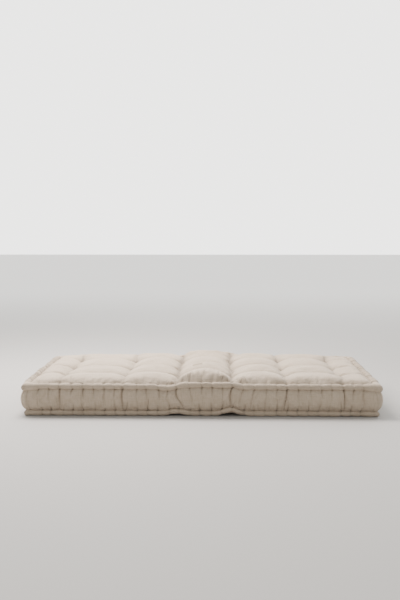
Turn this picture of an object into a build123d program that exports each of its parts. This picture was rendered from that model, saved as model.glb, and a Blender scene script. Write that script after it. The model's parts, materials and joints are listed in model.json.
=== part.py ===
from build123d import *
import os
from math import hypot, radians, sqrt, tan

# A hand-made tufted mattress: a linen cover of six cloths with a stitched roll along every long
# edge of its top and bottom, filled with felt, cotton batts and wool, and tied through with
# twine at its tufts. X runs along the length, Y from front to back and Z up. The origin is at
# the middle of the resting face. All sizes are in millimetres.

# Overall sizes.
length = 1905  # over the fullest line of the end borders
width = 991  # over the fullest line of the front and back borders
edge_height = 170  # from the resting face to the crest of the top rolls
crown_height = 212  # to the top of the ordinary pillows
middle_crown_height = 243  # to the top of the middle pillows, which stand prouder
valley_height = 174  # to the valleys between the pillows
tuft_height = 157  # to the cloth at the bottom of a tuft's dimple

# Cover.
cover_cloth = 2.0  # the linen and its lining, as one cloth
top_roll_radius = 17.0
bottom_roll_radius = 15.0
top_roll_set_in = 4.0  # from the border's fullest line to the outer side of the roll
bottom_roll_set_in = 18.0
border_tuck = 0.4  # how deep the border's edges are tucked into the rolls, in roll radii
panel_tuck = 0.6  # the same for the edges of the top panel

# Tufts. They are set by hand, so the gaps between them are a little uneven.
tuft_end_margin = 200.0  # from either end to the nearest column
tuft_front_margin = 248.0
tuft_back_margin = 218.0
column_gaps = (335, 286, 297, 288, 297)  # how the columns share the length between them
row_gaps = (248, 277)
fold_columns = (2, 3)  # the two columns, counted from 0, that the middle pillows lie between
dimple_floor_radius = 6.0
dimple_slope = radians(50)  # of the dimple's side, from the vertical
base_dimple_depth = 14.0
base_dimple_slope = radians(60)
twine_radius = 1.2
twine_clearance = 0.4  # around the twine in every cloth and layer that it passes through
knot_radius = 4.0
knot_height = 2.5

# Filling, from the bottom up.
base_felt = 18.0
batt_count = 3
least_top_wool = 14.0  # what is left of the top wool under a tuft

# Stitches along the rolls.
stitch_pitch = 58.0
stitch_length = 9.0
stitch_radius = 0.8
stitch_gap = 0.2  # between a stitch and the two cloths that it lies against

# Blank patch sewn to one of the middle pillows.
patch_length = 55.0
patch_width = 60.0
patch_thickness = 1.2
patch_place = (-27.0, -123.0)

# A side's section is drawn with the distance outward from the border's fullest line first, so
# it is negative inside, and the height second.
top_roll_centre = (-top_roll_set_in - top_roll_radius, edge_height - top_roll_radius)
bottom_roll_centre = (-bottom_roll_set_in - bottom_roll_radius, bottom_roll_radius)
border_top = (
    top_roll_centre[0] + border_tuck * top_roll_radius,
    top_roll_centre[1] - border_tuck * top_roll_radius,
)
border_bottom = (
    bottom_roll_centre[0] + border_tuck * bottom_roll_radius,
    bottom_roll_centre[1] + border_tuck * bottom_roll_radius,
)
fullest_height = (border_top[1] + border_bottom[1]) / 2
panel_edge = (top_roll_centre[0] - panel_tuck * top_roll_radius, top_roll_centre[1])
section_depth = bottom_roll_set_in + 3 * bottom_roll_radius  # further in than either roll

outward = {"front": (0, -1), "back": (0, 1), "left": (-1, 0), "right": (1, 0)}
low_end = (Align.CENTER, Align.CENTER, Align.MIN)


def spread(start, stop, gaps):
    """Places from start to stop, with gaps in the given proportions."""
    places = [start]
    for gap in gaps:
        places.append(places[-1] + gap * (stop - start) / sum(gaps))
    return places


columns = spread(tuft_end_margin - length / 2, length / 2 - tuft_end_margin, column_gaps)
rows = spread(tuft_front_margin - width / 2, width / 2 - tuft_back_margin, row_gaps)
tufts = [(x, y) for y in rows for x in columns]
first_fold, last_fold = (columns[i] for i in fold_columns)
middle_pillow = fold_columns[1]  # the pillow just before a column has the column's number


# Sections of one side.


def side_plane(side):
    """The plane that a side's section is drawn on, at the middle of the side."""
    out = Vector(*outward[side], 0)
    reach = length / 2 if out.X else width / 2
    return Plane(origin=out * reach, x_dir=out, z_dir=out.cross(Vector(0, 0, 1)))


def mitred(section, side):
    """A section carried along its side and cut at 45 degrees at both corners."""
    out = Vector(*outward[side], 0)
    half_run = width / 2 if out.X else length / 2
    inner = half_run - section_depth
    plan = make_face(
        Polyline(
            (-half_run, 0),
            (half_run, 0),
            (inner, -section_depth),
            (-inner, -section_depth),
            close=True,
        )
    )
    floor = Plane(side_plane(side).origin, x_dir=out.cross(Vector(0, 0, 1)), z_dir=(0, 0, 1))
    whole = extrude(side_plane(side) * section, amount=half_run, both=True)
    return whole & extrude(floor * plan, amount=edge_height)


def circle_at(centre, radius):
    return Pos(*centre) * Circle(radius)


def rolls_section():
    top = circle_at(top_roll_centre, top_roll_radius)
    return top + circle_at(bottom_roll_centre, bottom_roll_radius)


def behind_border(inward):
    """Everything behind the border's outline moved inward. The outline is two arcs that meet
    upright at the fullest line."""
    fullest = (-inward, fullest_height)
    top, bottom = ((edge[0] - inward, edge[1]) for edge in (border_top, border_bottom))
    upper = TangentArc(fullest, top, tangent=(0, 1))
    lower = TangentArc(fullest, bottom, tangent=(0, -1))
    back = Polyline(top, (-section_depth, top[1]), (-section_depth, bottom[1]), bottom)
    return make_face([*upper.edges(), *back.edges(), *lower.edges()])


def border_arc(edge):
    """Centre and radius of the border's outer arc between its fullest line and one edge."""
    radius = (edge[0] ** 2 + (edge[1] - fullest_height) ** 2) / (-2 * edge[0])
    return (-radius, fullest_height), radius


def outer_crossing(centre, radius, other_centre, other_radius):
    """The outermost of the two points where two circles cross."""
    across = (other_centre[0] - centre[0], other_centre[1] - centre[1])
    apart = hypot(*across)
    along = (radius**2 - other_radius**2 + apart**2) / (2 * apart)
    aside = sqrt(radius**2 - along**2)
    unit = (across[0] / apart, across[1] / apart)
    foot = (centre[0] + along * unit[0], centre[1] + along * unit[1])
    ends = [(foot[0] - k * unit[1], foot[1] + k * unit[0]) for k in (aside, -aside)]
    return max(ends)


# Sections right across the mattress, drawn with the place along it first and the height second.


def both_ends(section, half):
    """A side's section set at both ends of a span of twice the half."""
    return Pos(half, 0) * section + Pos(-half, 0) * mirror(section, Plane.YZ)


def over_pillows(half, lows, crowns, lowered):
    """Under the pillows and above the fullest line, with an arc over each pillow."""
    edge = half + panel_edge[0]
    places = [(-edge, panel_edge[1]), *((low, valley_height) for low in lows), (edge, panel_edge[1])]
    lines = []
    for start, stop, crown in zip(places, places[1:], crowns):
        through = [start, ((start[0] + stop[0]) / 2, crown), stop]
        lines += ThreePointArc(*((place, height - lowered) for place, height in through)).edges()
    sides = Polyline(
        (edge, panel_edge[1] - lowered),
        (edge, fullest_height),
        (-edge, fullest_height),
        (-edge, panel_edge[1] - lowered),
    )
    return make_face([*lines, *sides.edges()])


def across(half, lows, crowns, lowered, filled):
    """A whole section of the block, clear of the rolls."""
    section = over_pillows(half, lows, crowns, lowered)
    if filled:
        core_height = fullest_height - cover_cloth
        core = Rectangle(2 * (half + bottom_roll_centre[0]), core_height)
        section += Pos(0, cover_cloth + core_height / 2) * core
        section += both_ends(behind_border(cover_cloth), half)
    return section - both_ends(rolls_section(), half)


def block(lowered, filled=False):
    """Everything under the pillows and above the fullest line, clear of the rolls and dimples.
    Filled, it also reaches down to the bottom panel and out to the borders."""
    crowns = [crown_height] * (len(columns) + 1)
    crowns[middle_pillow] = middle_crown_height
    along_x = across(length / 2, columns, crowns, lowered, filled)
    blocks = []
    for crown in (crown_height, middle_crown_height):
        row_crowns = [crown] * (len(rows) + 1)
        along_y = across(width / 2, rows, row_crowns, lowered, filled)
        first = extrude(Plane.XZ * along_x, amount=width / 2, both=True)
        blocks.append(first & extrude(Plane.YZ * along_y, amount=length / 2, both=True))
    ordinary, middle = blocks
    between_folds = Pos((first_fold + last_fold) / 2, 0, 0) * Box(
        last_fold - first_fold, width, middle_crown_height, align=low_end
    )
    return ordinary + (middle & between_folds) - tuft_cones(tuft_height - lowered)


def tuft_cones(floor):
    """The dimples' shapes above a floor height."""
    height = middle_crown_height - tuft_height
    mouth = dimple_floor_radius + height * tan(dimple_slope)
    return [Pos(x, y, floor) * Cone(dimple_floor_radius, mouth, height, align=low_end) for x, y in tufts]


def base_cones(raised):
    """The shapes of the dimples in the underside, moved up."""
    mouth = dimple_floor_radius + base_dimple_depth * tan(base_dimple_slope)
    cone = Cone(mouth, dimple_floor_radius, base_dimple_depth, align=low_end)
    return [Pos(x, y, raised) * cone for x, y in tufts]


def twine_holes():
    hole = Cylinder(twine_radius + twine_clearance, middle_crown_height, align=low_end)
    return [Pos(x, y, 0) * hole for x, y in tufts]


def slab(low, high):
    return Pos(0, 0, low) * Box(length, width, high - low, align=low_end)


# Pieces.


def top_panel():
    return block(0) - block(cover_cloth) - twine_holes()


def bottom_panel():
    """A flat cloth out to where the bottom rolls leave its upper face, pulled in at the tufts."""
    drop = bottom_roll_radius - cover_cloth
    rim = bottom_roll_centre[0] - sqrt(bottom_roll_radius**2 - drop**2)
    flat = Box(length + 2 * rim, width + 2 * rim, cover_cloth, align=low_end)
    return flat + base_cones(cover_cloth) - base_cones(0) - twine_holes()


def border(side):
    return mitred(behind_border(0) - behind_border(cover_cloth) - rolls_section(), side)


def roll(side, centre, radius):
    """The cloth of a roll and the wad of felt inside it."""
    wad = circle_at(centre, radius - cover_cloth)
    return mitred(circle_at(centre, radius) - wad, side), mitred(wad, side)


def stitches(side, roll_centre, roll_radius, border_edge):
    """Short stitches in the groove between a roll and the border, clear of both cloths."""
    arc_centre, arc_radius = border_arc(border_edge)
    clear = stitch_radius + stitch_gap
    place = outer_crossing(roll_centre, roll_radius + clear, arc_centre, arc_radius + clear)
    run = (width if outward[side][0] else length) + 2 * place[0]
    count = round(run / stitch_pitch)
    stitch = Cylinder(stitch_radius, stitch_length)
    along = [run * ((i + 0.5) / count - 0.5) for i in range(count)]
    return Compound([side_plane(side) * Pos(*place, a) * stitch for a in along])


def filling():
    """The layers from the bottom up: base felt, cotton batts and top wool."""
    batts_bottom = cover_cloth + base_felt
    batts_top = tuft_height - cover_cloth - least_top_wool
    batt = (batts_top - batts_bottom) / batt_count
    levels = [cover_cloth, *(batts_bottom + i * batt for i in range(batt_count + 1)), middle_crown_height]
    names = ["base_felt", *(f"cotton_batt_{i + 1}" for i in range(batt_count)), "top_wool"]
    whole = block(cover_cloth, filled=True) - base_cones(cover_cloth) - twine_holes()
    return {name: whole & slab(*span) for name, span in zip(names, zip(levels, levels[1:]))}


def sewn_patch():
    """A plain square of the cover's cloth lying on a pillow."""
    column = Pos(*patch_place, 0) * Box(patch_length, patch_width, 2 * middle_crown_height)
    return (block(-patch_thickness) & column) - (block(0) & column)


parts = {"top_panel": top_panel(), "bottom_panel": bottom_panel(), **filling()}
for side in outward:
    parts[f"{side}_border"] = border(side)
    for level, centre, radius, edge in (
        ("top", top_roll_centre, top_roll_radius, border_top),
        ("bottom", bottom_roll_centre, bottom_roll_radius, border_bottom),
    ):
        cloth, wad = roll(side, centre, radius)
        parts[f"{side}_{level}_roll"] = cloth
        parts[f"{side}_{level}_roll_wad"] = wad
        parts[f"{side}_{level}_stitches"] = stitches(side, centre, radius, edge)

twine = Cylinder(twine_radius, tuft_height - base_dimple_depth, align=low_end)
for row, y in enumerate(rows, 1):
    for column, x in enumerate(columns, 1):
        parts[f"tuft_twine_row{row}_column{column}"] = Pos(x, y, base_dimple_depth) * twine
knot = Cylinder(knot_radius, knot_height, align=low_end)
parts["top_tuft_knots"] = Compound([Pos(x, y, tuft_height) * knot for x, y in tufts])
parts["base_tuft_knots"] = Compound(
    [Pos(x, y, base_dimple_depth - knot_height) * knot for x, y in tufts]
)
parts["sewn_patch"] = sewn_patch()

os.makedirs("parts", exist_ok=True)
for name, piece in parts.items():
    export_step(piece, f"parts/{name}.step")
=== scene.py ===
import json
from math import pi, radians

import bpy
import numpy as np
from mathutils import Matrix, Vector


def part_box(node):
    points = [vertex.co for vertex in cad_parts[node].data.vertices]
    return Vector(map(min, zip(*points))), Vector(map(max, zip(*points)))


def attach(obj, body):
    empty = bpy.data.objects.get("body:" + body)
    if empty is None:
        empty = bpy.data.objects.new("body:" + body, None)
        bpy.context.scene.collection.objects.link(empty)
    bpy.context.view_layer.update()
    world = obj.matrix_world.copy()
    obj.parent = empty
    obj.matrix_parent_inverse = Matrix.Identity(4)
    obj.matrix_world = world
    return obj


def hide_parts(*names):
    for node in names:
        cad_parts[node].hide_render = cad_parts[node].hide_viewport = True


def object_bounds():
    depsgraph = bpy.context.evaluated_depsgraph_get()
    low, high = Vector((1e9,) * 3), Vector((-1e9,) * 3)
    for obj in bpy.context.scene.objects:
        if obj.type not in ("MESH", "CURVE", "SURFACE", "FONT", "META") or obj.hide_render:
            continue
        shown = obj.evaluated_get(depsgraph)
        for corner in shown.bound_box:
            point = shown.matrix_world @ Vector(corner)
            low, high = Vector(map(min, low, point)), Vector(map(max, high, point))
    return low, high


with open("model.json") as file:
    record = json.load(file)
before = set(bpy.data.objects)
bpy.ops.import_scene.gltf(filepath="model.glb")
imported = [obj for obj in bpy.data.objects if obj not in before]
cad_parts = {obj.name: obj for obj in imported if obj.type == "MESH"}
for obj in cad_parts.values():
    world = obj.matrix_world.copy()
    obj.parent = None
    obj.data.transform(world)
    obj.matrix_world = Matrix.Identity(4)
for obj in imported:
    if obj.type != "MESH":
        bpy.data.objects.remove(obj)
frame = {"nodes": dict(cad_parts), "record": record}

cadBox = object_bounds()
halfLength, halfWidth = cadBox[1].x, cadBox[1].y
sides = {"front": (0, -1), "back": (0, 1), "left": (-1, 0), "right": (1, 0)}


# Where the middle of a side's roll runs, and its radius. Out is the distance outward from the
# border's fullest line, so it is negative inside.
def rollLine(level):
    low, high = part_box(f"front_{level}_roll")
    return {
        "out": -(low.y + high.y) / 2 - halfWidth,
        "up": (low.z + high.z) / 2,
        "radius": (high.y - low.y) / 2,
    }


# The columns and rows of the tufts, and the heights where their twines start and end.
def tuftPlaces():
    corners = [[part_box(f"tuft_twine_row{r}_column{c}") for c in range(1, 7)] for r in range(1, 4)]
    xs = np.array([(low.x + high.x) / 2 for low, high in corners[0]])
    ys = np.array([(row[0][0].y + row[0][1].y) / 2 for row in corners])
    return xs, ys, corners[0][0][0].z, corners[0][0][1].z


topLine, bottomLine = rollLine("top"), rollLine("bottom")
topLine["up"] += 0.007  # the plump edge stands a little higher than the plain one
bottomLine["out"] += 0.007  # and the bottom roll spreads under the weight
columns, rows, tuftFoot, tuftTop = tuftPlaces()
firstFold, lastFold = columns[2], columns[3]


# A soft hill one high: the bell curve of the distance from its centre.
def bump(x, centre, width):
    return np.exp(-(((x - centre) / width) ** 2))


# A rise from nothing at low to one at high, level at both ends: three squares less two cubes.
def smooth(low, high, x):
    t = np.clip((x - low) / (high - low), 0, 1)
    return t * t * (3 - 2 * t)


# A sharp valley or ridge: one on its line, falling to a third in one width to both sides.
def cusp(x, centre, width):
    return np.exp(-np.abs(x - centre) / width)


# Gentle disorder: a sum of cosines with wavelengths near the one asked for, in every direction.
def disorder(seed, wavelength, *places, count=7):
    rng = np.random.default_rng(seed)
    total = 0
    for _ in range(count):
        heading = rng.normal(size=len(places))
        heading *= 2 * pi / wavelength * rng.uniform(0.6, 1.5) / np.linalg.norm(heading)
        total = total + np.cos(sum(h * p for h, p in zip(heading, places)) + rng.uniform(0, 2 * pi))
    return total / np.sqrt(count / 2) / 1.5


def quads(grid):
    return np.stack([grid[:-1, :-1], grid[1:, :-1], grid[1:, 1:], grid[:-1, 1:]], axis=-1).reshape(-1, 4)


def objectOf(name, mesh):
    mesh.polygons.foreach_set("use_smooth", np.ones(len(mesh.polygons), bool))
    mesh.update()
    piece = bpy.data.objects.new(name, mesh)
    bpy.context.collection.objects.link(piece)
    return piece


# Mesh from a grid of points. A wrapped grid closes on itself in its second direction, and its ends
# get a fan of triangles to their middle.
def gridPiece(name, points, cloth, wrapped=False, flipped=False, paintedShades=None):
    points = np.asarray(points, float)
    nu, nv = points.shape[:2]
    index = np.arange(nu * nv).reshape(nu, nv)
    corner = np.arange(cloth.shape[0] * cloth.shape[1]).reshape(cloth.shape[:2])
    if wrapped:
        index = np.concatenate([index, index[:, :1]], axis=1)
    faces, uvCorners = quads(index), quads(corner)
    if flipped:
        faces, uvCorners = faces[:, ::-1], uvCorners[:, ::-1]
    places, uvs = points.reshape(-1, 3), cloth.reshape(-1, 2)
    faceList, uvList = faces.tolist(), uvCorners.tolist()
    if wrapped:
        middles = np.stack([points[0].mean(0), points[-1].mean(0)])
        places = np.concatenate([places, middles])
        uvs = np.concatenate([uvs, np.stack([cloth[0].mean(0), cloth[-1].mean(0)])])
        for end, middle in ((0, nu * nv), (nu - 1, nu * nv + 1)):
            ring, uvRing = index[end], corner[end]
            uvMiddle = len(uvs) - 2 + (middle - nu * nv)
            turn = (end == 0) != flipped
            first, second = (ring[1:], ring[:-1]) if not turn else (ring[:-1], ring[1:])
            uvFirst, uvSecond = (uvRing[1:], uvRing[:-1]) if not turn else (uvRing[:-1], uvRing[1:])
            faceList += np.stack([first, second, np.full_like(first, middle)], axis=-1).tolist()
            uvList += np.stack([uvFirst, uvSecond, np.full_like(uvFirst, uvMiddle)], axis=-1).tolist()
    mesh = bpy.data.meshes.new(name)
    mesh.from_pydata(places, [], faceList)
    mesh.uv_layers.new(name="cloth").data.foreach_set("uv", uvs[np.concatenate(uvList)].ravel())
    # The painted shade of each point, kept as an attribute that darkens the linen's colour.
    if paintedShades is not None:
        deep = np.zeros(len(mesh.vertices), np.float32)
        deep[: nu * nv] = np.clip(paintedShades, 0, 1).ravel()
        mesh.attributes.new("paintedShade", "FLOAT", "POINT").data.foreach_set("value", deep)
    return objectOf(name, mesh)


# Gives a surface real thickness, inward from the side that shows.
def clothThickness(piece, thickness):
    layer = piece.modifiers.new("cloth thickness", "SOLIDIFY")
    layer.thickness, layer.offset = thickness, -1


# Hands a piece over: what it rides on, what it is made of, what it stands for.
def hand(piece, slot, material, nodes=()):
    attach(piece, "root")
    if nodes:
        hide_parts(*nodes)
    piece.data.materials.clear()
    piece.data.materials.append(material)
    return piece


# From a side's own places to the mattress's. Along runs to the right of somebody who faces the side
# from outside.
def onSide(side, along, out, up):
    ox, oy = sides[side]
    reach = (halfLength if ox else halfWidth) + out
    return np.stack([ox * reach - oy * along, oy * reach + ox * along, up + 0 * out], axis=-1)


def halfRun(side):
    return halfWidth if sides[side][0] else halfLength


def linear(hexColour):
    value = np.array([int(hexColour[i : i + 2], 16) for i in (1, 3, 5)]) / 255
    return (*np.where(value <= 0.04045, value / 12.92, ((value + 0.055) / 1.055) ** 2.4), 1.0)


# Adds one node. Settings name its sockets, by name or number, or its own values; links name the
# sockets that another node's output feeds, an underscore standing for a space.
def addNode(tree, kind, settings=(), **links):
    node = tree.nodes.new(kind)
    for key, value in dict(settings).items():
        if isinstance(key, int) or key in node.inputs:
            node.inputs[key].default_value = value
        else:
            setattr(node, key, value)
    for key, source in links.items():
        socket = node.inputs[int(key[1:])] if key[1:].isdigit() else node.inputs[key.replace("_", " ")]
        tree.links.new(source, socket)
    return node


def newMaterial(name):
    material = bpy.data.materials.new(name)
    material.use_nodes = True
    tree = material.node_tree
    tree.nodes.clear()
    shader = addNode(tree, "ShaderNodeBsdfPrincipled")
    addNode(tree, "ShaderNodeOutputMaterial", Surface=shader.outputs[0])
    return material, tree, shader


def noise(tree, place, **settings):
    return addNode(tree, "ShaderNodeTexNoise", settings, Vector=place).outputs[0]


# One value times an amount, added to another.
def mixed(tree, value, amount, other):
    total = addNode(tree, "ShaderNodeMath", {"operation": "MULTIPLY_ADD", 1: amount}, _0=value, _2=other)
    return total.outputs[0]


# Undyed linen in a plain weave, washed until it is soft. The eye gets a warm greige cloth with
# darker and paler slubs running both ways, faint clouds of tone, and a fine crumple that catches
# the light. Real threads are 0.6 mm apart; they are drawn 2 mm apart, as fine as a viewer can see.
# Where a piece's painted shade attribute is high, the colour is darkened towards a brown-grey:
# painted shade for the insides of creases and hollows, where little light gets.
def washedLinen(name, dark, pale):
    material, tree, shader = newMaterial(name)
    cloth = addNode(tree, "ShaderNodeUVMap", {"uv_map": "cloth"}).outputs[0]
    slubs = []
    for stretch in ((380, 22, 1), (18, 420, 1)):  # slubs 2.5 mm wide and 50 mm long, both ways
        along = addNode(tree, "ShaderNodeMapping", {"Scale": stretch}, Vector=cloth).outputs[0]
        slubs.append(noise(tree, along, Scale=1.0, Detail=2.0))
    both = addNode(tree, "ShaderNodeMath", {"operation": "ADD"}, _0=slubs[0], _1=slubs[1]).outputs[0]
    clouds = noise(tree, cloth, Scale=9.0, Detail=4.0, Roughness=0.6)
    tone = mixed(tree, clouds, 0.9, both)
    share = addNode(tree, "ShaderNodeMapRange", {"From Min": 1.05, "From Max": 1.85}, Value=tone).outputs[0]
    colour = addNode(tree, "ShaderNodeMix", {"data_type": "RGBA", 6: linear(dark), 7: linear(pale)}, _0=share)
    # Painted shade: the attribute mixes the cloth's colour towards a dark brown-grey.
    crease = addNode(tree, "ShaderNodeAttribute", {"attribute_name": "paintedShade"}).outputs["Fac"]
    inside = addNode(tree, "ShaderNodeMath", {"operation": "MULTIPLY", 1: 0.64}, _0=crease).outputs[0]
    deep = {"data_type": "RGBA", 7: linear("#4c4235")}  # the brown-grey of the painted shade down in a fold
    shaded = addNode(tree, "ShaderNodeMix", deep, _0=inside, _6=colour.outputs[2])
    tree.links.new(shaded.outputs[2], shader.inputs["Base Color"])
    threads = []
    for direction in ("X", "Y"):  # threads 2 mm apart: a wave repeats every 1 / (scale * 3.18) m
        ways = {"bands_direction": direction, "Scale": 157.0, "Distortion": 1.5, "Detail": 1.0}
        threads.append(addNode(tree, "ShaderNodeTexWave", ways, Vector=cloth).outputs[1])
    weave = addNode(tree, "ShaderNodeMath", {"operation": "ADD"}, _0=threads[0], _1=threads[1]).outputs[0]
    crumple = noise(tree, cloth, Scale=42.0, Detail=4.0, Roughness=0.62, Distortion=0.6)
    height = mixed(tree, weave, 0.03, mixed(tree, both, 0.25, crumple))
    relief = addNode(tree, "ShaderNodeBump", {"Strength": 0.8, "Distance": 0.005}, Height=height).outputs[0]
    tree.links.new(relief, shader.inputs["Normal"])
    shader.inputs["Roughness"].default_value = 0.92
    shader.inputs["Specular IOR Level"].default_value = 0.25
    shader.inputs["Sheen Weight"].default_value = 0.12
    shader.inputs["Sheen Roughness"].default_value = 0.6
    return material


# Loose or felted fibre: two tones mixed by a fine noise stretched one way, with a soft rough
# relief. Scale is in lumps per metre.
def fibre(name, dark, pale, scale, stretch, relief):
    material, tree, shader = newMaterial(name)
    place = addNode(tree, "ShaderNodeTexCoord").outputs["Object"]
    along = addNode(tree, "ShaderNodeMapping", {"Scale": stretch}, Vector=place).outputs[0]
    lumps = noise(tree, along, Scale=scale, Detail=6.0, Roughness=0.7)
    share = addNode(tree, "ShaderNodeMapRange", {"From Min": 0.35, "From Max": 0.65}, Value=lumps).outputs[0]
    colour = addNode(tree, "ShaderNodeMix", {"data_type": "RGBA", 6: linear(dark), 7: linear(pale)}, _0=share)
    tree.links.new(colour.outputs[2], shader.inputs["Base Color"])
    bumps = addNode(tree, "ShaderNodeBump", {"Strength": 0.7, "Distance": relief}, Height=lumps).outputs[0]
    tree.links.new(bumps, shader.inputs["Normal"])
    shader.inputs["Roughness"].default_value = 0.95
    shader.inputs["Sheen Weight"].default_value = 0.2
    return material


# Twine laid up from strands and drawn through wax: slanting strands 1.5 mm apart, and a low shine.
def waxedTwine():
    material, tree, shader = newMaterial("waxed linen twine")
    place = addNode(tree, "ShaderNodeTexCoord").outputs["Object"]
    ways = {"bands_direction": "DIAGONAL", "Scale": 210.0, "Distortion": 0.5}
    strands = addNode(tree, "ShaderNodeTexWave", ways, Vector=place).outputs[1]
    tones = {"data_type": "RGBA", 6: linear("#6f6350"), 7: linear("#9c8f79")}
    colour = addNode(tree, "ShaderNodeMix", tones, _0=strands)
    tree.links.new(colour.outputs[2], shader.inputs["Base Color"])
    bumps = addNode(tree, "ShaderNodeBump", {"Strength": 0.5, "Distance": 0.0004}, Height=strands).outputs[0]
    tree.links.new(bumps, shader.inputs["Normal"])
    shader.inputs["Roughness"].default_value = 0.5
    return material


linen = washedLinen("washed natural linen, plain weave", "#ab9b87", "#bfb09e")
patchLinen = washedLinen("washed linen tape, a shade darker", "#988973", "#b1a28f")
felt = fibre("needled cotton felt, undyed with flecks", "#b9b1a2", "#ddd7ca", 120, (1, 1, 3), 0.002)
batting = fibre("carded cotton batting", "#d8cfbe", "#f1ebdf", 70, (1, 2.5, 5), 0.004)
wool = fibre("carded sheep's wool", "#d5cbb6", "#efe7d6", 110, (1, 1, 1.5), 0.003)
twine = waxedTwine()
slotMaterial = {
    "linen_cover": linen,
    "felt": felt,
    "cotton_batting": batting,
    "wool": wool,
    "waxed_twine": twine,
}

# All lengths are in metres.
rise = {"frontMiddle": 0.010, "backMiddle": 0.024, "dip": 0.009, "dipPlace": -0.185, "dipWidth": 0.045}
lift = {"first": 0.011, "last": 0.020, "width": 0.052, "inward": 0.10}
pillows = {
    "crownByColumn": (0.197, 0.203, 0.211, 0.221, 0.214, 0.208, 0.191),  # height of each crown
    "crownByRow": (-0.002, -0.001, -0.002, -0.012),  # and what each row adds to it, front to back
    "middleFront": (0.013, 0.007),  # more on the middle pillows of the first two rows
    "arch": 2.0,  # power of the broad arch
    "cleft": 9.0,  # power of the narrow cleft
    "cleftShare": 0.13,
    "rimCleftShare": 0.06,
    "frontCleftShare": 0.20,
    "rowSaddle": 0.024,  # how high the cloth rides between two tufts of a row
    "endSaddle": 1.2,  # times more in the end columns
    "columnSaddle": (0.014, 0.012, 0.003, 0.003, 0.012, 0.014),  # and between two of a column
    "rimSaddle": 1.8,  # times more in the front and back rows
    "fullness": 2.0,
    "rimOut": -0.12,  # where the panel meets the rolls, in radii out and up from their middle
    "rimUp": 0.84,
    "endRimOut": -0.70,
    "endRimUp": 0.35,
    "frontLow": 0.006,  # how much lower the panel meets the front roll
    "groove": (0.001, 0.006),  # depth behind the front and back rolls, left and right
    "endGroove": 0.009,
    "brimming": 0.10,  # in radii: how much the front and back pillows swell over their rolls
    "waver": (0.007, 0.008),  # how far the clefts stray from straight lines
}
gathers = {
    "rim": 0.005,
    "rimReach": 0.032,
    "tuft": 0.0045,
    "tuftReach": 0.038,
    "pit": 0.003,
    "front": 0.0023,
}
# Folded bits of cloth: place, heading in degrees, height, half width and half length.
pleats = (
    (-0.172, -0.462, 60, 0.011, 0.009, 0.030),
    (-0.150, -0.455, 66, -0.010, 0.005, 0.032),
    (-0.118, -0.462, 70, 0.009, 0.011, 0.034),
    (-0.094, -0.452, 76, -0.006, 0.006, 0.034),
    (-0.072, -0.445, 80, 0.006, 0.010, 0.036),
    (0.098, -0.430, 110, -0.008, 0.006, 0.034),
    (0.125, -0.440, 104, 0.006, 0.010, 0.036),
    (0.196, -0.430, 116, -0.010, 0.006, 0.040),
    (0.222, -0.442, 112, 0.007, 0.010, 0.036),
    (-0.700, -0.420, 100, -0.006, 0.006, 0.030),
)


# How much the top edge stands above its plain height: the middle third, pushed up between the two
# folds, and a dip beside the first fold at the front.
def topRise(x, y):
    back = smooth(-halfWidth, halfWidth, y)
    middle = smooth(firstFold - 0.03, firstFold + 0.05, x) * (1 - smooth(lastFold, lastFold + 0.06, x))
    amount = rise["frontMiddle"] * (1 - back) + rise["backMiddle"] * back
    return amount * middle - rise["dip"] * (1 - back) * bump(x, rise["dipPlace"], rise["dipWidth"])


# How far the underside stands off the floor: an arch at each fold, highest at the front and back.
def baseLift(x, y):
    edge = smooth(halfWidth - lift["inward"] - 0.1, halfWidth, np.abs(y))
    first = lift["first"] * bump(x, firstFold, lift["width"])
    last = lift["last"] * bump(x, lastFold - 0.01, lift["width"])
    return (first + last) * (0.12 + 0.88 * edge)


rimOut = topLine["out"] + pillows["rimOut"] * topLine["radius"]
rimUp = topLine["up"] + pillows["rimUp"] * topLine["radius"]
endRimOut = topLine["out"] + pillows["endRimOut"] * topLine["radius"]
endRimUp = topLine["up"] + pillows["endRimUp"] * topLine["radius"]


def fromEdge(x, y):
    return np.minimum(halfLength - np.abs(x), halfWidth - np.abs(y))


# One at the rim, falling to nothing 0.14 m inside it.
def edgeNearness(x, y):
    return 1 - smooth(0.02, 0.14, fromEdge(x, y))


# How near a place is to its cell's edge, 0 to 1: a power that gives a broad arch, and a much
# higher one that gives the narrow cleft between two pillows.
def nearEdge(a, atRim, atFront=False):
    share = np.where(atRim, pillows["rimCleftShare"], pillows["cleftShare"])
    share = np.where(atFront, pillows["frontCleftShare"], share)
    return (1 - share) * np.abs(a) ** pillows["arch"] + share * np.abs(a) ** pillows["cleft"]


# One at each tuft, falling off round it as a bell curve does.
def nearTuft(x, y, reach):
    spots = [np.exp(-(np.hypot(x - cx, y - cy) / reach) ** 2) for cx in columns for cy in rows]
    return np.maximum.reduce(spots)


# Places shifted a little, so that the clefts waver, but not at the tufts nor at the rim.
def wavering(x, y):
    free = (1 - nearTuft(x, y, 0.07)) * smooth(0.02, 0.10, fromEdge(x, y))
    awayX, awayY = pillows["waver"]
    return x + awayX * disorder(8, 0.30, x, y) * free, y + awayY * disorder(9, 0.35, x, y) * free


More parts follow.
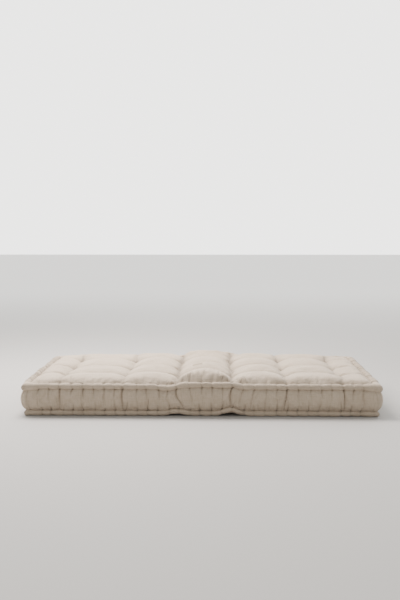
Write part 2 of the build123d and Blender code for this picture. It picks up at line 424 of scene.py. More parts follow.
# Height of the top: over each cell between two neighbouring rows and columns of tufts, the low
# corners joined by straight lines, plus a saddle along each side of the cell, plus a crown in the
# middle, which fades with how near the place is to the cell's sides, the two taken together as the
# sides of a right angle are. Near the folds and the rolls the whole top rises a little.
def topHeight(x, y):
    x, y = wavering(x, y)
    xs = np.concatenate([[-halfLength - endRimOut], columns, [halfLength + endRimOut]])
    ys = np.concatenate([[-halfWidth - rimOut], rows, [halfWidth + rimOut]])
    i = np.clip(np.searchsorted(xs, x) - 1, 0, len(xs) - 2)
    j = np.clip(np.searchsorted(ys, y) - 1, 0, len(ys) - 2)
    a = np.clip(2 * (x - xs[i]) / (xs[i + 1] - xs[i]) - 1, -1, 1)
    b = np.clip(2 * (y - ys[j]) / (ys[j + 1] - ys[j]) - 1, -1, 1)
    lows = np.full((len(xs), len(ys)), rimUp)
    lows[:, 0] = rimUp - pillows["frontLow"]
    lows[[0, -1], :] = endRimUp
    lows[1:-1, 1:-1] = tuftTop
    wa, wb = (a + 1) / 2, (b + 1) / 2
    ground = (1 - wa) * (1 - wb) * lows[i, j] + wa * (1 - wb) * lows[i + 1, j]
    ground = ground + (1 - wa) * wb * lows[i, j + 1] + wa * wb * lows[i + 1, j + 1]
    atEnd, atRim = (i == 0) | (i == len(columns)), (j == 0) | (j == len(rows))
    nearA = nearEdge(a, ((i == 0) & (a < 0)) | ((i == len(columns)) & (a > 0)))
    nearB = nearEdge(b, (j == len(rows)) & (b > 0), (j == 0) & (b < 0))
    rowSaddles = np.concatenate([[0], np.full(len(rows), pillows["rowSaddle"]), [0]])
    columnSaddles = np.concatenate([[0], pillows["columnSaddle"], [0]])
    rowSaddle = np.where(b > 0, rowSaddles[j + 1], rowSaddles[j])
    rowSaddle = rowSaddle * np.where(atEnd, pillows["endSaddle"], 1)
    columnSaddle = np.where(a > 0, columnSaddles[i + 1], columnSaddles[i])
    columnSaddle = columnSaddle * np.where(atRim, pillows["rimSaddle"], 1)
    middleGround = (lows[i, j] + lows[i + 1, j] + lows[i, j + 1] + lows[i + 1, j + 1]) / 4
    crown = np.array(pillows["crownByColumn"])[i] + np.array(pillows["crownByRow"])[j] - middleGround
    first, second = pillows["middleFront"]
    crown = crown + np.where(i == 3, first * (j == 0) + second * (j == 1), 0)
    height = ground + rowSaddle * (1 - nearA) * nearB + columnSaddle * (1 - nearB) * nearA
    overRoll = np.exp(-np.maximum(halfWidth - np.abs(y) - 0.03, 0) / 0.03)
    brim = pillows["brimming"] * topLine["radius"] * (1 - smooth(-0.3, 0.4, x)) * overRoll
    brim = brim * smooth(0.03, 0.12, halfLength - np.abs(x))
    full = pillows["fullness"]
    swell = 1 - np.minimum((nearA**full + nearB**full) ** (1 / full), 1)
    return height + crown * swell + topRise(x, y) * edgeNearness(x, y) + brim


# The sum of the tugs of a row of stitches, each a cusp along the side.
def tugs(places, pulls, along, width):
    return (pulls * cusp(np.asarray(along)[..., None], places, width)).sum(-1)


# The same on the top panel, where each tug runs inward from the rim with a slight sway and fades
# as a falling power of e beyond the roll.
def rimTugs(side, x, y, reach, width):
    ox, oy = sides[side]
    places, pulls = stitchPlaces(side, "top")
    depth = (halfLength - ox * x) if ox else (halfWidth - oy * y)
    along = oy * -x if oy else ox * y
    near = np.exp(-np.maximum(depth - 0.03, 0) / reach)
    return near, tugs(places, pulls, along + 0.15 * (depth - 0.03) * np.sin(60 * along), width)


# Each tuft, as its distance from every place, and the rays of creases that run out of it.
def tuftRays(x, y):
    for k, (cx, cy) in enumerate([(cx, cy) for cy in rows for cx in columns]):
        r, angle = np.hypot(x - cx, y - cy), np.arctan2(y - cy, x - cx)
        yield r, disorder(300 + k, 0.9, np.cos(angle), np.sin(angle), count=9)


# Places along and across a pleat that lies at a heading.
def pleatPlaces(x, y, px, py, heading):
    c, s = np.cos(radians(heading)), np.sin(radians(heading))
    return (x - px) * c + (y - py) * s, -(x - px) * s + (y - py) * c


# What the sewing adds to the plain height of the top: a groove behind the rolls, gathers at the
# rim stitches, creases that run out of each tuft, pleats beside the folds, and the pits themselves.
def topDetail(x, y):
    low, high = pillows["groove"]
    height = -(low + (high - low) * smooth(-0.4, 0.5, x)) * bump(halfWidth - np.abs(y), 0.036, 0.014)
    endGroove = pillows["endGroove"] * bump(halfLength - np.abs(x), 0.025, 0.011)
    height = height - endGroove * smooth(0.02, 0.06, halfWidth - np.abs(y))
    for side in sides:
        near, pulled = rimTugs(side, x, y, gathers["rimReach"], 0.008)
        height = height - gathers["rim"] * near * pulled
    for r, rays in tuftRays(x, y):
        height = height + gathers["tuft"] * rays * np.exp(-r / gathers["tuftReach"]) * smooth(0.004, 0.02, r)
        height = height - gathers["pit"] * np.exp(-((r / 0.012) ** 2))
    front = bump(y, -halfWidth + 0.085, 0.05) * smooth(-0.16, -0.05, x) * (1 - smooth(0.05, 0.16, x))
    height = height + gathers["front"] * front * disorder(77, 0.024, x - 0.25 * x * (y + halfWidth))
    offRoll = smooth(0.018, 0.05, fromEdge(x, y))
    for px, py, heading, tall, wide, length in pleats:
        u, v = pleatPlaces(x, y, px, py, heading)
        height = height + 1.1 * tall * np.exp(-np.abs(v / wide) ** 1.5 - (u / length) ** 2) * offRoll
    return height + 0.0012 * disorder(5, 0.16, x, y) + 0.0006 * disorder(6, 0.05, x, y)


# How much painted shade darkens each crease and hollow of the top: clefts between the rows and the
# columns of pillows, the two folds, the tufts and their rays, the grooves behind the rolls, the foot
# of the front pillows, the rim stitches, and the sides of a pleat.
shade = {
    "row": 0.55,
    "column": 0.75,
    "rowBroad": 0.20,
    "columnBroad": 0.28,
    "foldBroad": 0.38,
    "tuft": 0.8,
    "tuftBroad": 0.30,
    "ray": 0.8,
    "groove": (0.0, 0.35),
    "endGroove": 0.85,
    "frontFoot": 0.46,
    "rim": 0.55,
    "pleat": 0.85,
}


# How much painted shade each place of the top gets, from 0 to 1, where little light reaches: cusps
# along the clefts, strongest at the tufts and the rim, and bell curves and falling powers of e for the rest.
def topPaintedShade(x, y):
    inside = fromEdge(x, y)
    wx, wy = wavering(x, y)
    strong = 0.32 + 0.55 * nearTuft(x, y, 0.09) + 0.40 * np.exp(-np.maximum(inside - 0.02, 0) / 0.08)
    between = np.maximum.reduce([shade["column"] * cusp(wx, cx, 0.0055) for cx in columns])
    between = np.maximum(between, np.maximum.reduce([shade["row"] * cusp(wy, cy, 0.0050) for cy in rows]))
    between = between * strong
    atFolds = np.maximum(cusp(wx, firstFold, 0.0085), cusp(wx, lastFold, 0.0085))
    between = np.maximum(between, atFolds * (0.55 + 0.5 * strong))
    across = [shade["foldBroad" if cx in (firstFold, lastFold) else "columnBroad"] for cx in columns]
    broad = np.maximum.reduce([dark * cusp(wx, cx, 0.020) for dark, cx in zip(across, columns)])
    broad = np.maximum(broad, np.maximum.reduce([shade["rowBroad"] * cusp(wy, cy, 0.018) for cy in rows]))
    paintedShade = between + broad
    paintedShade = paintedShade + shade["tuft"] * nearTuft(x, y, 0.014) + shade["tuftBroad"] * nearTuft(x, y, 0.040)
    low, high = shade["groove"]
    paintedShade = paintedShade + (low + (high - low) * smooth(-0.4, 0.5, x)) * bump(halfWidth - np.abs(y), 0.034, 0.005)
    paintedShade = paintedShade + shade["endGroove"] * bump(halfLength - np.abs(x), 0.018, 0.010)
    paintedShade = paintedShade + shade["frontFoot"] * np.exp(-np.maximum(halfWidth + y - 0.01, 0) / 0.030)
    for r, rays in tuftRays(x, y):
        paintedShade = paintedShade + shade["ray"] * np.maximum(-rays - 0.3, 0) * np.exp(-r / 0.03)
    for side in sides:
        near, pulled = rimTugs(side, x, y, 0.022, 0.0035)
        paintedShade = paintedShade + shade["rim"] * near * pulled
    for px, py, heading, tall, wide, length in pleats:
        u, v = pleatPlaces(x, y, px, py, heading)
        foot = 0 if tall < 0 else 1.2 * wide  # a valley is dark in its middle, a ridge at its foot
        paintedShade = paintedShade + shade["pleat"] * bump(np.abs(v), foot, 0.0035) * np.exp(-((u / length) ** 2))
    return np.clip(paintedShade, 0, 1)


# Each point of a grid is mixed with its neighbours, so that corners soften.
def blurred(grid, passes):
    for _ in range(passes):
        for axis in (0, 1):
            edge = [(1, 1) if k == axis else (0, 0) for k in range(2)]
            wide = np.pad(grid, edge, mode="edge")
            before, after = (np.take(wide, range(k, k + grid.shape[axis]), axis=axis) for k in (0, 2))
            grid = (before + 2 * grid + after) / 4
    return grid


# Evenly spaced places from one side to the other.
def spaced(count, reach):
    return np.linspace(-reach, reach, count)


# The same over a whole rectangle, as two grids.
def spread(nx, ny, reachX, reachY):
    return np.meshgrid(spaced(nx, reachX), spaced(ny, reachY), indexing="ij")


# A grid of another size over the same sheet, joined by straight lines.
def resampled(grid, shape):
    for axis, count in enumerate(shape):
        places = np.linspace(0, grid.shape[axis] - 1, count)
        low = np.minimum(places.astype(int), grid.shape[axis] - 2)
        part = (places - low).reshape([-1 if k == axis else 1 for k in range(grid.ndim)])
        grid = np.take(grid, low, axis=axis) * (1 - part) + np.take(grid, low + 1, axis=axis) * part
    return grid


swelling = {
    "top": {"frames": 20, "pressure": 4.0, "extraCloth": 0.035, "stiffness": 12.0, "bending": 0.4},
    "border": {"frames": 20, "pressure": 1.5, "extraCloth": 0.045, "stiffness": 60.0, "bending": 0.3},
}


# Lets a sheet of cloth settle over its filling: the grid as a cloth a little too large for its
# place, held where it is sewn, and pushed outward from inside. Gives how far each point moved.
def settled(name, points, held, cap, ways, flipped=False):
    sheet = gridPiece(name, points, points[..., :2], flipped=flipped)
    group = sheet.vertex_groups.new(name="sewn")
    for level in np.unique(held):
        group.add(np.flatnonzero(held.ravel() == level).tolist(), float(level), "REPLACE")
    cloth = sheet.modifiers.new("settling", "CLOTH")
    values = cloth.settings
    values.vertex_group_mass, values.quality, values.mass = "sewn", 6, 0.25
    values.tension_stiffness = values.compression_stiffness = values.shear_stiffness = ways["stiffness"]
    values.bending_stiffness = ways["bending"]
    values.shrink_min = values.shrink_max = -ways["extraCloth"]
    values.use_pressure, values.uniform_pressure_force = True, ways["pressure"]
    values.effector_weights.gravity = 0
    cloth.collision_settings.use_collision = False
    scene = bpy.context.scene
    for number in range(1, ways["frames"] + 1):
        scene.frame_set(number)
    mesh = sheet.evaluated_get(bpy.context.evaluated_depsgraph_get()).to_mesh()
    moved = np.empty(len(mesh.vertices) * 3)
    mesh.vertices.foreach_get("co", moved)
    scene.frame_set(1)
    old = sheet.data
    bpy.data.objects.remove(sheet)
    bpy.data.meshes.remove(old)
    shift = moved.reshape(points.shape) - points
    length = np.linalg.norm(shift, axis=-1, keepdims=True) + 1e-9
    print(name, "settled", round(float(length.max()) * 1000, 1), "mm at most")
    return shift * np.minimum(1, cap / length)


sewing = {"pitch": 0.0575, "uneven": 0.006, "pull": (0.4, 0.95), "endPull": (0.45, 1.25), "tuftPull": 1.15}


# Where along a side a row of stitches pulls, a little unevenly, and how hard each one pulls: at the
# ends every other one pulls hard, and so does the one in line with each row or column of tufts.
def stitchPlaces(side, level):
    low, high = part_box(f"{side}_{level}_stitches")
    ox, oy = sides[side]
    run = (high.y - low.y) if ox else (high.x - low.x)
    count = round(run / sewing["pitch"]) + 1
    rng = np.random.default_rng(list(sides).index(side) * 10 + (level == "bottom"))
    places = np.linspace(-run / 2, run / 2, count) + rng.uniform(-sewing["uneven"], sewing["uneven"], count)
    pulls = rng.uniform(*sewing["pull"], count)
    if ox:
        light, hard = sewing["endPull"]
        pulls = pulls * np.where(np.arange(count) % 2, hard, light)
    lines = rows * ox if ox else columns * -oy
    for line in lines if level == "top" else ():
        nearest = np.argmin(np.abs(places - line))
        places[nearest], pulls[nearest] = line, sewing["tuftPull"]
    return places, pulls


panel = {"across": 300, "deep": 160, "settle": 0.005, "cloth": 0.0015}
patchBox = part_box("sewn_patch")
patch = {
    "place": (patchBox[0] + patchBox[1]) / 2,
    "size": patchBox[1] - patchBox[0],
    "grid": 24,
    "raised": 0.0022,
    "hem": 0.0006,
    "cloth": 0.0012,
}


def panelGrid(nx, ny):
    return spread(nx, ny, halfLength + endRimOut, halfWidth + rimOut)


# One with its edges held, nothing inside.
def heldRim(shape):
    held = np.zeros(shape)
    held[[0, -1], :] = 1
    held[:, [0, -1]] = 1
    return held


# The top panel: its height over a flat grid, then the settling, held at the rim, the tufts, the
# folds and the patch.
def topPanel():
    x, y = panelGrid(panel["across"], panel["deep"])
    z = blurred(topHeight(x, y), 1) + topDetail(x, y)
    points = np.stack([x, y, z], -1)
    cx, cy = panelGrid(panel["across"] // 2, panel["deep"] // 2)
    coarse = np.stack([cx, cy, blurred(topHeight(cx, cy), 1)], -1)
    held = heldRim(cx.shape)
    for tuftX in columns:
        for tuftY in rows:
            held[np.hypot(cx - tuftX, cy - tuftY) < 0.013] = 1
    held[np.minimum(np.abs(cx - firstFold), np.abs(cx - lastFold)) < 0.007] = 1
    held[(np.abs(cx - patch["place"][0]) < 0.04) & (np.abs(cy - patch["place"][1]) < 0.045)] = 1
    shift = settled("top panel", coarse, held, panel["settle"], swelling["top"])
    shift[..., 2] = np.maximum(shift[..., 2], -0.004)
    points = points + resampled(shift, x.shape)
    piece = gridPiece("top_panel_cloth", points, np.stack([x, y], -1), paintedShades=topPaintedShade(x, y))
    clothThickness(piece, panel["cloth"])
    return piece, points


edgeRoll = {
    "pinch": {"front": 0.27, "back": 0.26, "left": 0.52, "right": 0.48},  # in radii, at a stitch
    "pinchWidth": 0.009,
    "slant": {"front": 0.005, "back": 0.006, "left": 0.024, "right": 0.020},
    "plump": {"front": -0.09, "back": 0.06, "left": 0.28, "right": 0.24},  # in radii, top rolls
    "raised": {"front": -0.003, "back": 0.002, "left": 0.004, "right": 0.003},
    "puff": 0.10,
    "cornerPuff": {"left": 0.24, "right": 0.34},
    "cornerDrop": 0.007,
    "uneven": 0.035,
    "stray": 0.002,
    "endRollShade": {"left": 0.62, "right": 0.44},  # painted shade on the gathered cloth of an end roll
    "around": 24,
    "step": 0.005,
}


# A roll: a circle carried along its side, narrower at each stitch and fuller towards the corners,
# cut square to the corner's diagonal at both ends.
def rollPoints(side, level, scale=1.0):
    line = topLine if level == "top" else bottomLine
    seed = list(sides).index(side) * 10 + (level == "bottom")
    places, pulls = stitchPlaces(side, level)
    run = halfRun(side) + line["out"]
    along = spaced(int(2 * run / edgeRoll["step"]), run)[:, None]
    turn = np.linspace(0, 2 * pi, edgeRoll["around"], endpoint=False)[None, :]
    where = along + edgeRoll["slant"][side] * np.sin(turn + 0.6)
    pinch = tugs(places, pulls, where, edgeRoll["pinchWidth"])
    corner = 1 - smooth(0, 0.09, run - np.abs(along))
    ox, oy = sides[side]
    atRight = (-oy * along if oy else ox + 0 * along) > 0
    isTop = level == "top"
    fuller = np.where(atRight, edgeRoll["cornerPuff"]["right"], edgeRoll["cornerPuff"]["left"])
    fuller = fuller * corner * isTop
    own = 1 - corner  # what belongs to this side alone fades at the corners, where two rolls meet
    share = 1 + fuller + edgeRoll["puff"] * (1 - pinch * own) - edgeRoll["pinch"][side] * pinch * own
    uneven = edgeRoll["uneven"] * disorder(seed + 100, 0.06, along, 0.03 * np.cos(turn))
    share = share + own * (edgeRoll["plump"][side] * isTop + uneven)
    radius = line["radius"] * scale * share
    stray = edgeRoll["stray"] * disorder(seed + 50, 0.25, along)
    out = line["out"] + radius * np.cos(turn) + stray * own
    up = line["up"] + radius * np.sin(turn)
    if isTop:
        up = up + edgeRoll["raised"][side] * own - edgeRoll["cornerDrop"] * corner
    mitre = smooth(0.05, 0, run - np.abs(along))
    points = onSide(side, along + np.sign(along) * (out - line["out"]) * mitre, out, up)
    x, y = points[..., 0], points[..., 1]
    points[..., 2] += topRise(x, y) if isTop else baseLift(x, y)
    points[..., 2] = np.maximum(points[..., 2], 0.0002 + (1 - scale) * line["radius"])
    girth = line["radius"] * np.linspace(0, 2 * pi, edgeRoll["around"] + 1)[None, :]
    cloth = np.stack(np.broadcast_arrays(along, girth), -1)
    # Painted shade in the crease at each stitch, fainter towards the corners.
    paintedShades = (1.0 if ox else 0.6) * tugs(places, pulls, where, 0.0055 if ox else 0.0032) * (1 - 0.5 * corner)
    # An end roll also gets painted shade over its gathered cloth, uneven as its lumps.
    if ox:
        endRollShade = edgeRoll["endRollShade"][side] + 0.26 * disorder(seed + 7, 0.014, where, 0.004 * np.cos(turn))
        paintedShades = paintedShades + own * endRollShade
    if side == "front" and isTop:
        paintedShades = paintedShades + own * 0.30 * bump(turn, pi / 2, 0.9)  # painted shade on the crest, dimming its highlight where the panel turns under
    return points, cloth, paintedShades


def rollPiece(side, level):
    points, cloth, paintedShades = rollPoints(side, level)
    return gridPiece(f"{side}_{level}_roll_cloth", points, cloth, wrapped=True, paintedShades=paintedShades)


border = {
    "down": 44,
    "step": 0.0036,
    "crease": 0.016,
    "creaseWidth": 0.0065,
    "corner": 0.035,
    "full": 0.004,
    "endFull": 0.010,
    "cornerFull": 0.006,
    "endLap": 0.006,  # how much higher an end border reaches up behind its roll
    "rough": (0.0016, 0.0010),
    "settle": 0.007,
    "cloth": 0.0015,
}


# Where a border meets a roll, which lies above it when the sign is minus one, else below.
def seamAt(line, sign):
    return {"up": line["up"] + sign * 0.8 * line["radius"], "out": line["out"] + 0.15 * line["radius"]}


borderTop, borderFoot = seamAt(topLine, -1), seamAt(bottomLine, 1)


# How far out the border stands at a height: furthest halfway up, and a power of the distance from
# there back to each roll.
def borderOut(up):
    middle = (borderTop["up"] + borderFoot["up"]) / 2
    share = np.clip((up - middle) / (borderTop["up"] - middle), -1, 1)
    return np.where(share > 0, borderTop["out"], borderFoot["out"]) * np.abs(share) ** 3.2


# Creases of a border: from each stitch a valley runs some way down or up it, leaning a little, and
# the cloth between two valleys stands proud. Also gives the painted shade down each valley, darkest near its
# stitch.
def borderCreases(side, walk, q):
    amount, paintedShades = 0 * (walk + q), 0 * (walk + q)
    for level, grow in (("top", q), ("bottom", 1 - q)):
        places, pulls = stitchPlaces(side, level)
        rng = np.random.default_rng(40 + list(sides).index(side) * 3 + (level == "bottom") * 7)
        for place, pull in zip(places, pulls):
            reach = rng.uniform(0.25, 1.2) if level == "top" else rng.uniform(0.15, 0.7)
            reach = 1.35 if pull > 1 else reach
            lean, sway = rng.normal(0, 0.010), rng.normal(0, 0.004)
            if side == "front":
                drawn = bump(place, firstFold + 0.02, 0.05) - bump(place, lastFold + 0.04, 0.10)
                lean = (lean + 0.028 * drawn) * (1 if level == "top" else -1)
            fade = np.clip(1 - grow / reach, 0, 1) ** 0.7
            line = place + lean * grow + sway * np.sin(5 * grow)
            amount = amount - pull * fade * cusp(walk, line, border["creaseWidth"] * (0.55 + 0.8 * grow))
            paintedShades = paintedShades + pull * fade * cusp(walk, line, 0.0026) * (0.75 + 0.6 * np.exp(-grow / 0.04))
    return amount, paintedShades


# A border: a sheet that bulges by the root of a parabola from roll to roll, with its creases and a
# little roughness, carried straight along its side and round an eighth of a circle at both ends.
def borderPiece(side):
    seed, atEnd = 40 + list(sides).index(side), sides[side][0] != 0
    topUp, lowUp = borderTop["up"] + (border["endLap"] if atEnd else 0), borderFoot["up"]
    run, bend = halfRun(side), border["corner"]
    arcEnd, straight = bend * pi / 4, run - bend
    walk = spaced(int(2 * (straight + arcEnd) / border["step"]), straight + arcEnd)[:, None]
    turned = np.clip(np.abs(walk) - straight, 0, arcEnd) / bend
    along = np.sign(walk) * (np.minimum(np.abs(walk), straight) + bend * np.sin(turned))
    q = np.linspace(0, 1, border["down"])[None, :]
    up = topUp + (lowUp - topUp) * q
    belly = (4 * q * (1 - q)) ** 0.5
    corner = smooth(0.0, 0.08, run - np.abs(along))
    creases, paintedShades = borderCreases(side, walk, q)
    creases = np.maximum(creases, -1) * corner
    # Painted shade along both seams, where the border goes in under its rolls.
    paintedShades = paintedShades + 0.5 * np.exp(-q / 0.025) + 0.5 * np.exp(-(1 - q) / 0.025)
    bulge = border["cornerFull"] + (border["endFull" if atEnd else "full"] - border["cornerFull"]) * corner
    away = border["crease"] * creases + bulge * belly
    broad, fine = border["rough"]
    rough = broad * disorder(seed + 3, 0.07, walk, 0.04 * q)
    rough = rough + fine * disorder(seed + 5, 0.02, walk, 0.012 * q)
    away = away + rough * belly * corner
    away = away + borderOut(up)
    along = along + np.sign(walk) * away * np.sin(turned)
    out = away * np.cos(turned) - bend * (1 - np.cos(turned))
    points = onSide(side, along, out, up + 0 * walk)
    x, y = points[..., 0], points[..., 1]
    points[..., 2] += topRise(x, y) * (1 - q) + baseLift(x, y) * q
    coarse = resampled(points, (points.shape[0] // 2, border["down"] // 2))
    held = heldRim(coarse.shape[:2])
    held[resampled(creases, coarse.shape[:2]) < -0.45] = 1
    shift = settled(f"{side} border", coarse, held, border["settle"], swelling["border"], flipped=True)
    points = points + resampled(shift, points.shape[:2])
    cloth = np.stack(np.broadcast_arrays(walk, up), -1)
    piece = gridPiece(f"{side}_border_cloth", points, cloth, flipped=True, paintedShades=paintedShades)
    clothThickness(piece, border["cloth"])
    return piece


underneath = {"across": 220, "deep": 120, "pull": 0.014, "pullWidth": 0.022, "cloth": 0.0008}


# How far each tuft pulls the underside up: a falling power of e of the distance from it.
def pulledUp(height, x, y, width):
    for cx in columns:
        for cy in rows:
            height = height + underneath["pull"] * np.exp(-np.hypot(x - cx, y - cy) / width)
    return height


# The underside: flat but for the arches at the folds, and pulled up at each tuft.
def bottomPanel():
    rim = bottomLine["out"] - 0.25 * bottomLine["radius"]
    x, y = spread(underneath["across"], underneath["deep"], halfLength + rim, halfWidth + rim)
    z = baseLift(x, y) + 0.0010 + 0.0004 * disorder(21, 0.09, x, y)
    z = pulledUp(z, x, y, underneath["pullWidth"]) + 0.002 * edgeNearness(x, y)
    piece = gridPiece("bottom_panel_cloth", np.stack([x, y, z], -1), np.stack([x, y], -1), flipped=True)
    clothThickness(piece, underneath["cloth"])
    return piece


filling = {"across": 110, "deep": 60, "behindBorder": 0.016, "behindPanel": 0.009, "aboveBase": 0.006}


# A layer of the filling: a closed bar along the length, whose lower and upper sides lie at two
# shares of the way from the underside to the top, and whose ends and sides follow the borders.
def layerPiece(name, low, high):
    a, b = spread(filling["across"], filling["deep"], 1, 1)
    edge = topLine["out"] - 1.5 * topLine["radius"]
    x, y = a * (halfLength + edge), b * (halfWidth + edge)
    under = pulledUp(baseLift(x, y) + filling["aboveBase"], x, y, 1.6 * underneath["pullWidth"])
    reach = (-0.024, -0.012, 0, 0.012, 0.024)  # the lowest panel near a place is what it stays under
    shifted = [(x + dx, y + dy) for dx in reach for dy in reach]
    over = np.minimum.reduce([topHeight(*place) + np.minimum(topDetail(*place), 0) for place in shifted])
    over = over - filling["behindPanel"]
    sheets = []
    for share in (low, high):
        up = under + share * (over - under)
        near = smooth(0.75, 1.0, np.maximum(np.abs(a), np.abs(b)))
        beside = borderOut(up) - filling["behindBorder"] - edge
        grow = np.where(up < topLine["up"] - 1.6 * topLine["radius"], beside, 0) * near
        lowest = bottomLine["out"] - 1.5 * bottomLine["radius"] - edge
        grow = np.minimum(grow, np.where(up < 2.6 * bottomLine["radius"], lowest, 1))
        sheets.append(np.stack([a * (halfLength + edge + grow), b * (halfWidth + edge + grow), up], -1))
    points = np.concatenate([sheets[0], sheets[1][:, ::-1]], axis=1)
    ring = np.linspace(0, 4 * halfWidth, points.shape[1] + 1)[None, :]
    cloth = np.stack(np.broadcast_arrays(a[:, :1] * halfLength, ring), -1)
    return gridPiece(name, points, cloth, wrapped=True, flipped=True)


# Small round bars of one size, each along its own path, together as one mesh: a ring of points
# about each point of each path, set across it by a direction given for each bar.
def bars(name, paths, across, radius, around=6):
    n, m = paths.shape[:2]
    ahead = np.gradient(paths, axis=1)
    ahead /= np.linalg.norm(ahead, axis=-1, keepdims=True)
    sideways = np.broadcast_to(across[:, None], paths.shape)
    other = np.cross(ahead, sideways)
    other /= np.linalg.norm(other, axis=-1, keepdims=True)
    turn = np.linspace(0, 2 * pi, around, endpoint=False)[:, None]
    taper = np.ones(m)
    taper[[0, -1]] = 0.6
    ring = np.cos(turn) * sideways[:, :, None] + np.sin(turn) * other[:, :, None]
    places = (paths[:, :, None] + radius * taper[None, :, None, None] * ring).reshape(-1, 3)
    index = np.arange(m * around).reshape(m, around)
    wide = np.concatenate([index, index[:, :1]], axis=1)
    one = np.stack([wide[:-1, :-1], wide[:-1, 1:], wide[1:, 1:], wide[1:, :-1]], -1).reshape(-1, 4)
    offsets = (np.arange(n) * m * around)[:, None, None]
    faces = (one[None] + offsets).reshape(-1, 4).tolist()
    caps = np.stack([index[0], index[-1][::-1]])[:, ::-1]
    faces += (caps[None] + offsets).reshape(-1, around).tolist()
    mesh = bpy.data.meshes.new(name)
    mesh.from_pydata(places, [], faces)
    return objectOf(name, mesh)


stitch = {
    "radius": 0.0011,
    "rollAngle": 42,
    "sunk": 0.0008,
    "intoBorder": 0.007,
    "slant": 0.004,
    "bow": 0.0015,
}


# The hand stitches of one seam: each goes from the roll over the groove to the border, bowed out
# by half a wave.
def stitchPiece(side, level):
    line, edge, sign = (topLine, borderTop, -1) if level == "top" else (bottomLine, borderFoot, 1)
    places, pulls = stitchPlaces(side, level)
    t = np.linspace(0, 1, 7)[None, :]
    share = 1 + edgeRoll["puff"] * (1 - pulls) - edgeRoll["pinch"][side] * pulls
    squeezed = line["radius"] * share[:, None] - stitch["sunk"]
    angle = sign * radians(stitch["rollAngle"])
    footUp = edge["up"] + sign * stitch["intoBorder"]
    footOut = borderOut(footUp) - 0.6 * border["crease"] * pulls[:, None]
    startOut, startUp = line["out"] + squeezed * np.cos(angle), line["up"] + squeezed * np.sin(angle)
    bow = stitch["bow"] * np.sin(pi * t)
    out = startOut + (footOut - startOut) * t + bow
    up = startUp + (footUp - startUp) * t
    along = places[:, None] + stitch["slant"] * (t - 0.5)
    paths = onSide(side, along, out, up)
    shift = topRise if level == "top" else baseLift
    paths[..., 2] += shift(paths[..., 0], paths[..., 1])
    ox, oy = sides[side]
    across = np.tile(np.array([-oy, ox, 0.0]), (len(places), 1))
    return bars(f"{side}_{level}_stitching", paths, across, stitch["radius"])


knot = {"ring": 0.0032, "twine": 0.0011, "tail": 0.011, "turns": 1.35}


# Twine tied off at each tuft: a circle on the cloth, a little more than once round, whose end then
# lies away from it.
def knotPiece(name, height, up):
    cx, cy = (g.ravel() for g in np.meshgrid(columns, rows, indexing="ij"))
    start = np.random.default_rng(9).uniform(0, 2 * pi, len(cx))[:, None]
    t = np.linspace(0, 1, 22)[None, :]
    turn = start + 2 * pi * knot["turns"] * t
    reach = knot["ring"] + knot["tail"] * smooth(0.72, 1.0, t)
    z = height[:, None] + up * (knot["twine"] + 0.0012 * t + 0.1 * (reach - knot["ring"]))
    x, y = cx[:, None] + reach * np.cos(turn), cy[:, None] + reach * np.sin(turn)
    paths = np.stack(np.broadcast_arrays(x, y, z), -1)
    return bars(name, paths, np.tile([0.0, 0.0, 1.0], (len(cx), 1)), knot["twine"])


# Height of the finished top at any place, read off its grid by straight lines.
def topAt(points, x, y):
    nx, ny = points.shape[:2]
    u = (np.asarray(x) / (halfLength + endRimOut) + 1) / 2 * (nx - 1)
    v = (np.asarray(y) / (halfWidth + rimOut) + 1) / 2 * (ny - 1)
    i, j = np.clip(u.astype(int), 0, nx - 2), np.clip(v.astype(int), 0, ny - 2)
    a, b, z = u - i, v - j, points[..., 2]
    return (1 - a) * ((1 - b) * z[i, j] + b * z[i, j + 1]) + a * ((1 - b) * z[i + 1, j] + b * z[i + 1, j + 1])


# The blank patch: a small cloth lying on the top, its edge turned down into it.
def patchPiece(points):
    a, b = spread(patch["grid"], patch["grid"], 1, 1)
    x, y = patch["place"].x + a * patch["size"].x / 2, patch["place"].y + b * patch["size"].y / 2
    edge = np.maximum(np.abs(a), np.abs(b))
    hem = patch["hem"] * bump(edge, 0.90, 0.06)
    z = topAt(points, x, y) + patch["raised"] * (1 - smooth(0.93, 1.0, edge)) + hem - 0.0004
    piece = gridPiece("sewn_patch_cloth", np.stack([x, y, z], -1), np.stack([x, y], -1))
    clothThickness(piece, patch["cloth"])
    return piece


print("filling")
below, topOfAll = 0.0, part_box("top_wool")[1].z
for name in ("base_felt", "cotton_batt_1", "cotton_batt_2", "cotton_batt_3", "top_wool"):
    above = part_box(name)[1].z / topOfAll
    slot = {"base_felt": "felt", "top_wool": "wool"}.get(name, "cotton_batting")
    hand(layerPiece(f"{name}_layer", below, above), slot, slotMaterial[slot], [name])
    below = above
for side in sides:
    for level in ("top", "bottom"):
        points, cloth, paintedShades = rollPoints(side, level, 0.8)
        wad = gridPiece(f"{side}_{level}_wad", points, cloth, wrapped=True)
        hand(wad, "felt", felt, [f"{side}_{level}_roll_wad"])
print("panels")
topPiece, topPoints = topPanel()
hand(topPiece, "linen_cover", linen, ["top_panel"])
hand(bottomPanel(), "linen_cover", linen, ["bottom_panel"])
print("borders and rolls")
for side in sides:
    hand(borderPiece(side), "linen_cover", linen, [f"{side}_border"])
    for level in ("top", "bottom"):
        hand(rollPiece(side, level), "linen_cover", linen, [f"{side}_{level}_roll"])

print("stitches, knots and patch")
for side in sides:
    for level in ("top", "bottom"):
        hand(stitchPiece(side, level), "waxed_twine", twine, [f"{side}_{level}_stitches"])
cx, cy = (g.ravel() for g in np.meshgrid(columns, rows, indexing="ij"))
hand(knotPiece("top_knots", topAt(topPoints, cx, cy), 1), "waxed_twine", twine, ["top_tuft_knots"])
baseKnots = knotPiece("base_knots", np.full(len(cx), underneath["pull"] - 0.001), -1)
hand(baseKnots, "waxed_twine", twine, ["base_tuft_knots"])
hand(patchPiece(topPoints), "linen_cover", patchLinen, ["sewn_patch"])

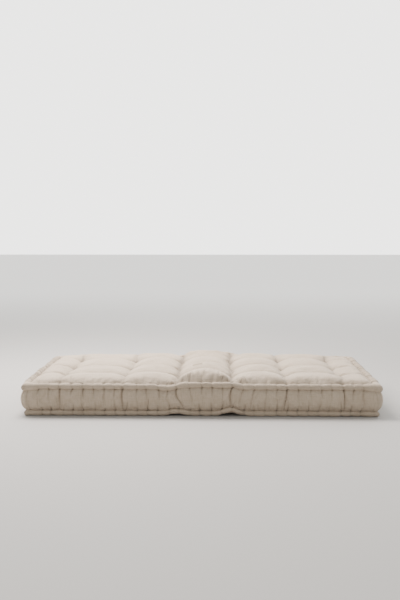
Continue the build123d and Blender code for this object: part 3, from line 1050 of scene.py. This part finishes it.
# The twines inside stay as the frame has them, so they only need their material.
for name, node in frame["nodes"].items():
    slot = next(s["material_slot"] for s in frame["record"]["subparts"] if s["node"] == name)
    for k in range(len(node.material_slots)):
        node.material_slots[k].material = slotMaterial[slot]

print("stage, light and camera")
view = {"distance": 4.30, "height": 0.979, "across": 0.082, "tilt": 4.76, "turn": 1.163, "focal": 49.5}
floorMesh = bpy.data.meshes.new("floor")
floorMesh.from_pydata([(-30, -30, 0), (30, -30, 0), (30, 30, 0), (-30, 30, 0)], [], [(0, 1, 2, 3)])
floor = bpy.data.objects.new("floor", floorMesh)
bpy.context.collection.objects.link(floor)
floorMaterial, floorTree, floorShader = newMaterial("matt painted floor")
floorPlace = addNode(floorTree, "ShaderNodeTexCoord").outputs["Object"]
behind = addNode(floorTree, "ShaderNodeSeparateXYZ", Vector=floorPlace).outputs["Y"]
fading = {"interpolation_type": "SMOOTHSTEP", "From Min": 0.8, "From Max": 9.0}  # painted light: grey near the mattress, paling far behind it into the bright room
paler = addNode(floorTree, "ShaderNodeMapRange", fading, Value=behind).outputs[0]
floorTones = {"data_type": "RGBA", 6: linear("#a9a7a4"), 7: linear("#f4f3f1")}
floorColour = addNode(floorTree, "ShaderNodeMix", floorTones, _0=paler)
floorTree.links.new(floorColour.outputs[2], floorShader.inputs["Base Color"])
floorShader.inputs["Roughness"].default_value = 0.8
floorMesh.materials.append(floorMaterial)

# The room: a bright back wall and ceiling, fading to a dim room in front of the mattress.
room = {"dim": 0.85, "bright": 3.6, "from": -0.05, "to": 0.7}
world = bpy.data.worlds.new("studio")
world.use_nodes = True
worldTree = world.node_tree
background = worldTree.nodes["Background"]
heading = addNode(worldTree, "ShaderNodeTexCoord").outputs["Generated"]
toward = addNode(worldTree, "ShaderNodeSeparateXYZ", Vector=heading).outputs["Y"]
ways = {"From Min": room["from"], "From Max": room["to"], "To Min": room["dim"], "To Max": room["bright"]}
ways["interpolation_type"] = "SMOOTHSTEP"
strength = addNode(worldTree, "ShaderNodeMapRange", ways, Value=toward).outputs[0]
worldTree.links.new(strength, background.inputs["Strength"])
background.inputs["Color"].default_value = linear("#fbfaf7")
bpy.context.scene.world = world

softbox = {"place": (-1.1, 0.75, 2.6), "size": (2.2, 1.2), "watts": 255, "turned": (-14, -18, 0)}
lampData = bpy.data.lights.new("overhead softbox", "AREA")
lampData.shape, lampData.energy = "RECTANGLE", softbox["watts"]
lampData.size, lampData.size_y = softbox["size"]
lampData.color = linear("#fff6f1")[:3]
lamp = bpy.data.objects.new("overhead softbox", lampData)
lamp.location = softbox["place"]
lamp.rotation_euler = [radians(angle) for angle in softbox["turned"]]
bpy.context.collection.objects.link(lamp)

cameraData = bpy.data.cameras.new("camera")
cameraData.lens = view["focal"]
camera = bpy.data.objects.new("camera", cameraData)
camera.location = (view["across"], -halfWidth - view["distance"], view["height"])
camera.rotation_euler = (radians(90 - view["tilt"]), 0, radians(view["turn"]))
bpy.context.collection.objects.link(camera)
bpy.context.scene.camera = camera
